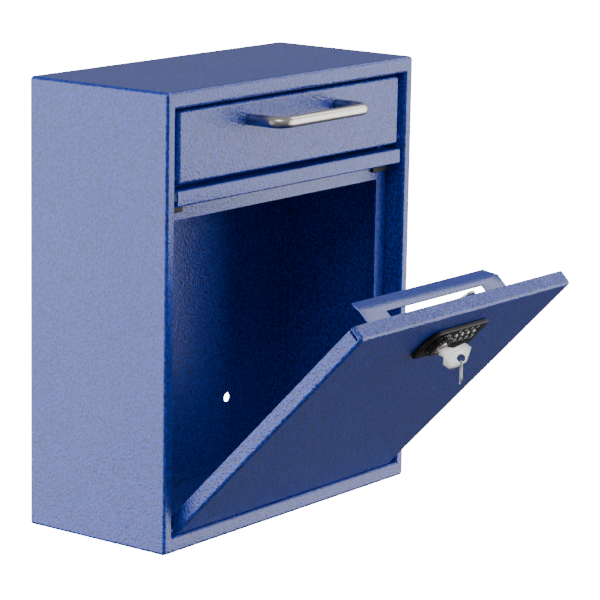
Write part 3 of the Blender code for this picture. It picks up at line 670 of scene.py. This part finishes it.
@dataclass
class LockCase:
    """Bezel, case and axle: the parts of the lock that stay still on the door.

    Places are millimetres from the knob's axis at the door's outer face: x across, y inwards, z up.
    """

    finishes: Finishes
    place: DoorPlace
    left: float = -15.5
    right: float = 48.5
    low: float = -14.0
    high: float = 12.0
    thickness: float = 3.0
    back: float = -0.3
    big_corner: float = 9.0
    small_corner: float = 3.0
    draft: float = 0.5
    hub_r: float = 7.7
    first_dial: float = 16.6
    pitch: float = 6.8
    dial_z: float = 0.0
    dial_half: float = 2.9
    window_half: float = 6.6
    edge: float = 0.35
    cut: tuple[float, float] = (-9.0, 5.0)     # how far the hub hole's cutter runs
    window_cut: tuple[float, float] = (-9.0, 3.0)
    tick_gap: float = 0.9
    tick_tip: float = 0.4
    print_mm: tuple[float, float] = (0.06, 0.2)   # print above the face, and below it
    case_low: tuple[float, float, float] = (-14.0, 1.5, -11.0)
    case_high: tuple[float, float, float] = (46.0, 10.9, 9.3)
    hollow_low: tuple[float, float, float] = (-12.9, -1.0, -9.9)
    hollow_high: tuple[float, float, float] = (44.9, 9.9, 8.2)
    case_edge: float = 1.0
    spindle_hole: float = 4.7
    groove_x: tuple[float, ...] = (22.0, 28.0, 34.0)
    groove_low: tuple[float, float, float] = (0.0, 10.5, -8.0)
    groove_high: tuple[float, float, float] = (1.0, 14.6, 6.5)
    tick: tuple[float, float] = (1.0, 2.5)

    def outline(self) -> list[tuple[float, float]]:
        """The bezel seen from the front."""
        big, small = self.big_corner, self.small_corner
        return (arc((self.right - small, self.high - small), small, 0, 90, 8)
                + arc((self.left + big, self.high - big), big, 90, 180, 14)
                + arc((self.left + small, self.low + small), small, 180, 270, 8)
                + arc((self.right - small, self.low + small), small, 270, 360, 8))

    def build(self) -> None:
        """Makes the bezel with its windows and index lines, and the case behind the door."""
        front = self.back - self.thickness
        shape = slab(self.outline(), self.back, front + self.draft)
        bmesh.ops.remove_doubles(shape, verts=shape.verts, dist=0.01 * MM)
        face = min(shape.faces, key=lambda f: f.calc_center_median().y)
        bmesh.ops.inset_region(shape, faces=[face], thickness=self.draft * 1.2 * MM, depth=self.draft * MM)
        soften(shape, self.edge, segments=3, angle_deg=35.0)
        transform(shape, self.place.spot)
        bezel = put(shape, "lock_escutcheon", "door", self.finishes.lock)
        cut_from, cut_to = self.cut
        hub = drum(Axis.Y, Vector((0.0, cut_from, 0.0)) * MM, cut_to - cut_from, self.hub_r)
        cutters = [self.placed(hub)]
        for index in range(4):
            x = self.first_dial + index * self.pitch
            cutters.append(self.placed(block(
                Vector((x - self.dial_half, self.window_cut[0], self.dial_z - self.window_half)) * MM,
                Vector((x + self.dial_half, self.window_cut[1], self.dial_z + self.window_half)) * MM)))
        carve(bezel, cutters)
        bezel.data.shade_smooth()
        bezel.data.set_sharp_from_angle(angle=math.radians(35))
        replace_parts(bezel, "lock_bezel")
        self.ticks(front)
        self.case()

    def placed(self, shape: bmesh.types.BMesh) -> bmesh.types.BMesh:
        """The same shape moved to the open door."""
        transform(shape, self.place.spot)
        return shape

    def ticks(self, front: float) -> None:
        """Printed index lines above the number wheels."""
        shape = bmesh.new()
        width, height = self.tick
        above, below = self.print_mm
        base = self.dial_z + self.window_half + self.tick_gap
        for index in range(4):
            x = self.first_dial + index * self.pitch
            mark = slab([(x - width / 2, base), (x + width / 2, base), (x + width / 2, base + height),
                         (x, base + height + self.tick_tip), (x - width / 2, base + height)],
                        front - above, front + below)
            merge(shape, mark)
        transform(shape, self.place.spot)
        put(shape, "lock_index_lines", "door", self.finishes.print_white)

    def case(self) -> None:
        """The moulded case behind the door, with grooves in its back and a hole for the spindle."""
        shape = block(Vector(self.case_low) * MM, Vector(self.case_high) * MM)
        soften(shape, self.case_edge, segments=4)
        transform(shape, self.place.spot)
        case = put(shape, "lock_case", "door", self.finishes.lock)
        hollow = block(Vector(self.hollow_low) * MM, Vector(self.hollow_high) * MM)
        hole = drum(Axis.Y, Vector((0.0, 8.0, 0.0)) * MM, 6.0, self.spindle_hole)
        grooves = []
        for x in self.groove_x:
            across = Vector((x, 0.0, 0.0))
            low, high = Vector(self.groove_low) + across, Vector(self.groove_high) + across
            grooves.append(block(low * MM, high * MM))
        carve(case, [self.placed(part) for part in (hollow, hole, *grooves)])
        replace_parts(case, "lock_body")


@dataclass
class NumberWheels:
    """Four wheels with ten numbers each, fluted between the numbers."""

    finishes: Finishes
    case: LockCase
    radius: float = 7.0
    width: float = 5.2
    bore: float = 1.4
    axle_y: float = 2.3
    digits: int = 10
    digit_mm: float = 2.7
    print_mm: float = 0.06
    groove: float = 0.45
    wall: float = 0.3
    flute_deg: float = 7.0
    shown: tuple[int, ...] = (0, 0, 0, 0)

    def build(self) -> None:
        """Makes each wheel and the numbers printed on it."""
        for index in range(4):
            x = self.case.first_dial + index * self.case.pitch
            spot = self.case.place.spot @ Matrix.Translation(Vector((x, self.axle_y, self.case.dial_z)) * MM)
            body = "dial_wheel_%d" % (index + 1)
            self.wheel(index, spot, body)
            self.numbers(index, spot, body)

    def wheel(self, index: int, spot: Matrix, body: str) -> None:
        """One fluted wheel."""
        step = 360 / self.digits
        start = Vector((-self.width / 2, 0.0, 0.0)) * MM
        shape = drum(Axis.X, start, self.width, self.radius, segments=3 * self.digits)
        sides = [f for f in shape.faces if abs(f.normal.x) < 0.5]
        flutes = []
        for face in sides:
            angle = math.degrees(math.atan2(face.normal.z, -face.normal.y)) % step
            if abs(angle - step / 2) < self.flute_deg:
                flutes.append(face)
        bmesh.ops.inset_individual(shape, faces=flutes, thickness=self.wall * MM, depth=-self.groove * MM)
        soften(shape, 0.12, segments=2, angle_deg=30.0)
        transform(shape, spot)
        name = "number_wheel_%d" % (index + 1)
        wheel = put(shape, name, body, self.finishes.dial, smooth_deg=25.0)
        hole = drum(Axis.X, Vector((-self.width, 0.0, 0.0)) * MM, 2 * self.width, self.bore)
        transform(hole, spot)
        carve(wheel, [hole])
        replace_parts(wheel, "dial_%d" % (index + 1))

    def numbers(self, index: int, spot: Matrix, body: str) -> None:
        """The wheel's ten numbers as raised print."""
        shape = bmesh.new()
        for digit in range(self.digits):
            text = bpy.data.curves.new("digit", "FONT")
            text.body = str(digit)
            text.size = self.digit_mm * 1.35 * MM
            text.align_x = "CENTER"
            text.align_y = "CENTER"
            text.extrude = self.print_mm * MM
            text.offset = 0.05 * MM
            letter = bpy.data.objects.new("digit", text)
            mesh = bpy.data.meshes.new_from_object(letter)
            stand = Matrix.Rotation(math.pi / 2, 4, "X")
            turn = Matrix.Rotation(2 * math.pi * (digit - self.shown[index]) / self.digits, 4, "X")
            mesh.transform(spot @ turn @ Matrix.Translation((0.0, -self.radius * MM, 0.0)) @ stand)
            shape.from_mesh(mesh)
            bpy.data.objects.remove(letter)
            bpy.data.curves.remove(text)
            bpy.data.meshes.remove(mesh)
        put(shape, "wheel_numbers_%d" % (index + 1), body, self.finishes.print_white)


@dataclass
class Latch:
    """Knob, spindle, cam and nut, which turn together about the knob's axis."""

    finishes: Finishes
    place: DoorPlace
    knob_r: float = 10.4
    front: float = -6.8
    skirt_back: float = -3.6
    hub: tuple[float, float] = (7.4, 7.0)
    plug_bore: float = 4.9
    spindle_r: float = 4.4
    cam_y: tuple[float, float] = (11.4, 13.0)
    cam_reach: float = 33.0
    cam_half: float = 7.0
    thread_pitch: float = 1.0
    flutes: int = 24
    flute_mm: float = 0.7
    shank_y: tuple[float, float] = (8.0, 13.2)
    thread_y: tuple[float, float] = (13.0, 17.5)
    thread_depth: float = 0.5
    tip_hole: float = 2.3
    nut: tuple[float, float] = (7.6, 3.0)      # radius over the corners, and thickness
    index_low: tuple[float, float] = (-7.9, -2.6)
    index_high: tuple[float, float] = (-7.0, 3.8)

    def placed(self, shape: bmesh.types.BMesh) -> bmesh.types.BMesh:
        """The same shape moved to the turned knob on the open door."""
        transform(shape, self.place.knob)
        return shape

    def build(self) -> None:
        """Makes the four pieces."""
        self.knob()
        self.spindle()
        self.cam()
        self.hexagon()

    def knob(self) -> None:
        """A low knob with a fluted rim, a hub behind it and a red index line."""
        rim, front, back = self.knob_r, self.front, self.skirt_back
        hub_r, hub_end = self.hub
        profile = [(self.plug_bore, front + 0.5), (self.plug_bore + 0.5, front), (rim - 1.6, front),
                   (rim - 0.9, front + 0.25), (rim - 0.5, front + 0.8), (rim - 0.2, back - 0.9),
                   (rim, back - 0.5), (rim, back), (hub_r, back), (hub_r, hub_end), (self.plug_bore, hub_end),
                   (self.plug_bore, front + 0.5)]
        shape = lathe(profile, self.flutes * 3)
        step = 2 * math.pi / self.flutes
        for vert in shape.verts:
            radius = math.hypot(vert.co.x, vert.co.z)
            turned = (math.atan2(vert.co.z, vert.co.x) + step / 6) % step
            if radius > (rim - 1.2) * MM and vert.co.y < (back - 0.7) * MM and turned < step / 3:
                vert.co.x *= 1 - self.flute_mm * MM / radius
                vert.co.z *= 1 - self.flute_mm * MM / radius
        knob = put(self.placed(shape), "knob_grip", "knob", self.finishes.knob, smooth_deg=28.0)
        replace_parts(knob, "lock_knob")
        lean = Matrix.Rotation(-math.radians(joint("knob_turn")["range_deg"][0]), 4, "Y").inverted()
        (low_x, low_z), (high_x, high_z) = self.index_low, self.index_high
        line = block(Vector((low_x, front - 0.06, low_z)) * MM, Vector((high_x, front + 0.2, high_z)) * MM)
        soften(line, 0.05)
        transform(line, lean)
        put(self.placed(line), "knob_index_line", "knob", self.finishes.print_red)

    def spindle(self) -> None:
        """A spindle with a plain shank and a threaded end."""
        shank_start, shank_end = self.shank_y
        shape = drum(Axis.Y, Vector((0.0, shank_start, 0.0)) * MM, shank_end - shank_start, self.spindle_r)
        soften(shape, 0.3)
        start, end = self.thread_y
        root = self.spindle_r - self.thread_depth
        count = int((end - start) / self.thread_pitch)
        profile = [(0.0, start), (root, start)]
        for turn in range(count):
            base = start + turn * self.thread_pitch
            profile.append((self.spindle_r, base + self.thread_pitch / 2))
            profile.append((root, base + self.thread_pitch))
        profile.append((0.0, start + count * self.thread_pitch))
        thread = lathe(profile, 40)
        merge(shape, thread)
        piece = put(self.placed(shape), "knob_spindle", "knob", self.finishes.zinc)
        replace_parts(piece, "cam_spindle")

    def cam(self) -> None:
        """The flat latch cam: a punched blank with tumbled edges and a hole near its tip."""
        low_y, high_y = self.cam_y
        outline = arc((0.0, 0.0), self.cam_half + 1.0, 200, 340, 20)
        outline += arc((0.0, self.cam_reach), self.cam_half, 0, 180, 24)
        shape = slab(outline, low_y, high_y)
        soften(shape, 0.3, segments=3)
        cam = put(self.placed(shape), "latch_cam", "knob", self.finishes.zinc)
        holes = [drum(Axis.Y, Vector((0.0, low_y - 2.0, z)) * MM, 6.0, radius)
                 for z, radius in ((0.0, self.spindle_r + 0.3), (self.cam_reach, self.tip_hole))]
        carve(cam, [self.placed(hole) for hole in holes])
        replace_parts(cam, "cam_lever")

    def hexagon(self) -> None:
        """A chamfered hexagon nut behind the cam."""
        radius, thickness = self.nut
        shape = drum(Axis.Y, Vector((0.0, self.cam_y[1] + 0.3, 0.0)) * MM, thickness, radius, segments=6)
        soften(shape, 0.45, segments=3)
        nut = put(self.placed(shape), "latch_nut", "knob", self.finishes.zinc)
        bore = drum(Axis.Y, Vector((0.0, self.cam_y[1] - 3.0, 0.0)) * MM, 10.0, self.spindle_r + 0.15)
        carve(nut, [self.placed(bore)])
        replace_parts(nut, "cam_nut")


@dataclass
class OverrideKey:
    """Key cylinder, key and split ring."""

    finishes: Finishes
    place: DoorPlace
    front: float = -7.3
    plug_r: float = 4.6
    plug_depth: float = 14.9
    keyway_end: float = 6.2
    thickness: float = 2.0
    blade: float = 3.4
    hole: tuple[float, float] = (12.6, 6.4)
    hole_r: float = 2.8
    # the bow's corners: outwards from the cylinder's face, then across the key
    bow: tuple[tuple[float, float], ...] = (
        (4.1, 6.5), (5.4, 14.6), (10.1, 16.1), (16.5, 7.9),
        (16.3, 1.6), (14.5, -4.0), (9.4, -6.0), (5.6, -2.8))
    ring_r: float = 7.5
    wire_r: float = 0.36
    coils: float = 1.9

    def placed(self, shape: bmesh.types.BMesh) -> bmesh.types.BMesh:
        """The same shape moved to the turned knob on the open door."""
        transform(shape, self.place.knob)
        return shape

    def build(self) -> None:
        """Makes the three pieces."""
        self.plug()
        self.key()
        self.ring()

    def plug(self) -> None:
        """The nickel cylinder face with its keyway."""
        shape = drum(Axis.Y, Vector((0.0, self.front, 0.0)) * MM, self.plug_depth, self.plug_r)
        soften(shape, 0.4, segments=3)
        plug = put(self.placed(shape), "lock_cylinder", "key", self.finishes.nickel)
        half = self.thickness / 2 + 0.3
        reach = self.blade + 0.3
        keyway = block(Vector((-half, self.front - 2.0, -reach)) * MM,
                       Vector((half, self.keyway_end, reach)) * MM)
        dish = drum(Axis.Y, Vector((0.0, self.front - 1.0, 0.0)) * MM, 1.25, 3.9, 3.2)
        carve(plug, [self.placed(keyway), self.placed(dish)])
        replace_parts(plug, "key_plug")

    def key(self) -> None:
        """A flat key: punched bow with a shallow panel, shoulders, and a blade with milled cuts."""
        blade = self.blade
        cuts = [(-2.5 - 1.9 * step, blade - (0.5 + 0.5 * (step % 3))) for step in range(5)]
        tooth = [point for out, across in cuts for point in ((out + 0.6, across), (out - 0.6, across))]
        outline = [(1.2, blade), (2.2, blade + 1.0), *self.bow, (2.2, -blade - 1.0), (1.2, -blade),
                   (-12.0, -blade), (-12.6, -blade * 0.4)] + list(reversed(tooth))
        shape = slab(outline, -self.thickness / 2, self.thickness / 2)
        outwards = Matrix.Rotation(-math.pi / 2, 4, "Z")
        transform(shape, Matrix.Translation(Vector((0.0, self.front, 0.0)) * MM) @ outwards)
        soften(shape, 0.28, segments=3, angle_deg=50.0)
        key = put(self.placed(shape), "override_key", "key", self.finishes.nickel)
        out, across = self.hole
        spot = Vector((-6.0, self.front - out, across)) * MM
        panels = []
        for side in (-1, 1):
            panel = slab([(x * 0.62 + 3.9, z * 0.6 + 2.1) for x, z in self.bow], -0.35, 0.35)
            soften(panel, 0.3, segments=2, angle_deg=30.0)
            beside = Vector((side * (self.thickness / 2 + 0.17), self.front, 0.0)) * MM
            transform(panel, Matrix.Translation(beside) @ outwards)
            panels.append(self.placed(panel))
        carve(key, [self.placed(drum(Axis.X, spot, 12.0, self.hole_r)), *panels])
        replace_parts(key, "key")

    def ring(self) -> None:
        """A split ring of about two turns of spring wire, hanging from the bow."""
        low, high = (Vector(corner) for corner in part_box("key_ring"))
        swing = joint("ring_swing")
        centre = (low + high) / 2
        down = (centre - Vector(swing["pos_m"])).normalized()
        across = Vector(swing["axis"]).normalized()
        normal = down.cross(across).normalized()
        steps = 80
        curve = bpy.data.curves.new("split_ring", "CURVE")
        curve.dimensions = "3D"
        curve.bevel_depth = self.wire_r * MM
        curve.bevel_resolution = 3
        curve.use_fill_caps = True
        line = curve.splines.new("POLY")
        line.points.add(steps)
        for number, point in enumerate(line.points):
            angle = 2 * math.pi * self.coils * number / steps
            rise = (number / steps - 0.5) * self.coils * self.wire_r * 2.05
            reach = (down * math.cos(angle) + across * math.sin(angle)) * self.ring_r
            point.co = (*(centre + reach * MM + normal * rise * MM), 1.0)
        wire = bpy.data.objects.new("split_ring", curve)
        mesh = bpy.data.meshes.new_from_object(wire)
        bpy.data.objects.remove(wire)
        bpy.data.curves.remove(curve)
        shape = bmesh.new()
        shape.from_mesh(mesh)
        bpy.data.meshes.remove(mesh)
        bmesh.ops.remove_doubles(shape, verts=shape.verts, dist=0.01 * MM)
        ring = put(shape, "split_ring", "ring", self.finishes.nickel, smooth_deg=50.0)
        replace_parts(ring, "key_ring")


# Studio ----------------------------------------------------------------------------------------------

@dataclass
class Softbox:
    """An area light that looks at the box."""

    name: str
    place: tuple[float, float, float]
    size: tuple[float, float]
    power: float
    aim: tuple[float, float, float] = (0.0, -0.03, 0.15)

    def build(self) -> None:
        """Adds the light."""
        data = bpy.data.lights.new(self.name, "AREA")
        data.shape = "RECTANGLE"
        data.size, data.size_y = self.size
        data.energy = self.power
        lamp = bpy.data.objects.new(self.name, data)
        bpy.context.scene.collection.objects.link(lamp)
        lamp.location = self.place
        direction = Vector(self.aim) - Vector(self.place)
        lamp.rotation_euler = direction.to_track_quat("-Z", "Y").to_euler()


@dataclass
class Studio:
    """Pale floor, soft lights and a long-lens camera a little above the box, left of its front."""

    camera_place: tuple[float, float, float] = (-1.55617, -1.23675, 0.55904)
    heading_deg: float = 53.0
    fall_deg: float = 11.82
    roll_deg: float = 1.05
    lens_mm: float = 176.33
    sky: float = 0.33              # soft light from above
    ground: float = 0.17           # and from below the horizon
    floor_size: float = 14.0
    floor_glow: float = 20.0
    boxes: list[Softbox] = field(default_factory=lambda: [
        Softbox("left_bank", (-2.3, 1.75, 0.1), (3.4, 3.0), 128.0),
        Softbox("right_bank", (2.2, -2.0, 0.1), (3.2, 3.0), 100.0),
        Softbox("high_front", (-1.4, -1.15, 2.1), (0.9, 0.9), 14.0),
        Softbox("high_right", (1.9, -0.45, 1.65), (0.9, 0.9), 8.0),
    ])

    def build(self) -> None:
        """Makes the camera, the world, the floor and the lights."""
        self.camera()
        self.world()
        self.floor()
        for box in self.boxes:
            box.build()

    def camera(self) -> None:
        """Places the camera."""
        camera = bpy.data.cameras.new("camera")
        camera.sensor_width = 36.0
        camera.lens = self.lens_mm
        camera.clip_end = 50.0
        rig = bpy.data.objects.new("camera", camera)
        bpy.context.scene.collection.objects.link(rig)
        look = (Matrix.Rotation(-math.radians(self.heading_deg), 4, "Z")
                @ Matrix.Rotation(math.pi / 2 - math.radians(self.fall_deg), 4, "X")
                @ Matrix.Rotation(math.radians(self.roll_deg), 4, "Z"))
        rig.matrix_world = Matrix.Translation(self.camera_place) @ look
        bpy.context.scene.camera = rig

    def world(self) -> None:
        """A soft white room that is darker below the horizon."""
        world = bpy.data.worlds.new("studio")
        bpy.context.scene.world = world
        world.use_nodes = True
        tree = world.node_tree
        place = add_node(tree, "ShaderNodeTexCoord").outputs["Generated"]
        height = add_node(tree, "ShaderNodeSeparateXYZ", inputs={"Vector": place}).outputs["Z"]
        strength = add_node(tree, "ShaderNodeMapRange", {"interpolation_type": "SMOOTHSTEP"}, {
            "Value": height, "From Min": -0.5, "From Max": 0.5, "To Min": self.ground, "To Max": self.sky})
        back = tree.nodes["Background"]
        back.inputs["Color"].default_value = linear("#ffffff")
        tree.links.new(strength.outputs[0], back.inputs["Strength"])

    def floor(self) -> None:
        """A lit white floor, which doesn't throw its light back at the box."""
        shape = bmesh.new()
        bmesh.ops.create_grid(shape, x_segments=4, y_segments=4, size=self.floor_size / 2)
        mesh = bpy.data.meshes.new("floor")
        shape.to_mesh(mesh)
        shape.free()
        floor = bpy.data.objects.new("floor", mesh)
        bpy.context.scene.collection.objects.link(floor)
        floor.visible_diffuse = False
        floor.visible_glossy = False
        material, tree, shader = new_material("matt_white_paper")
        place = add_node(tree, "ShaderNodeTexCoord").outputs["Object"]
        tooth = add_node(tree, "ShaderNodeTexNoise", inputs={"Vector": place, "Scale": 900.0, "Detail": 2.0})
        paper = colour_ramp(tree, tooth.outputs["Fac"], [(0.3, linear("#f2f2f2")), (0.7, linear("#f8f8f8"))])
        tree.links.new(paper, shader.inputs["Base Color"])
        shader.inputs["Roughness"].default_value = 0.9
        shader.inputs["Emission Color"].default_value = linear("#ffffff")
        shader.inputs["Emission Strength"].default_value = self.floor_glow
        mesh.materials.append(material)


def main() -> None:
    """Builds the studio and then every sub-assembly."""
    logging.basicConfig(level=logging.INFO, format="%(message)s")
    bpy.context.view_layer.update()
    finishes = Finishes.make()
    Studio().build()
    SheetMetal(finishes).build()
    Bumpers(finishes).build()
    HingePins(finishes).build()
    PullHandle(finishes).build()
    place = DoorPlace()
    case = LockCase(finishes, place)
    case.build()
    NumberWheels(finishes, case).build()
    Latch(finishes, place).build()
    OverrideKey(finishes, place).build()
    axle = frame["nodes"]["dial_axle"].data
    axle.materials.clear()
    axle.materials.append(finishes.zinc)
    LOG.info("dial_axle: %d faces, as in the frame", len(axle.polygons))


if __name__ == "__main__":
    main()
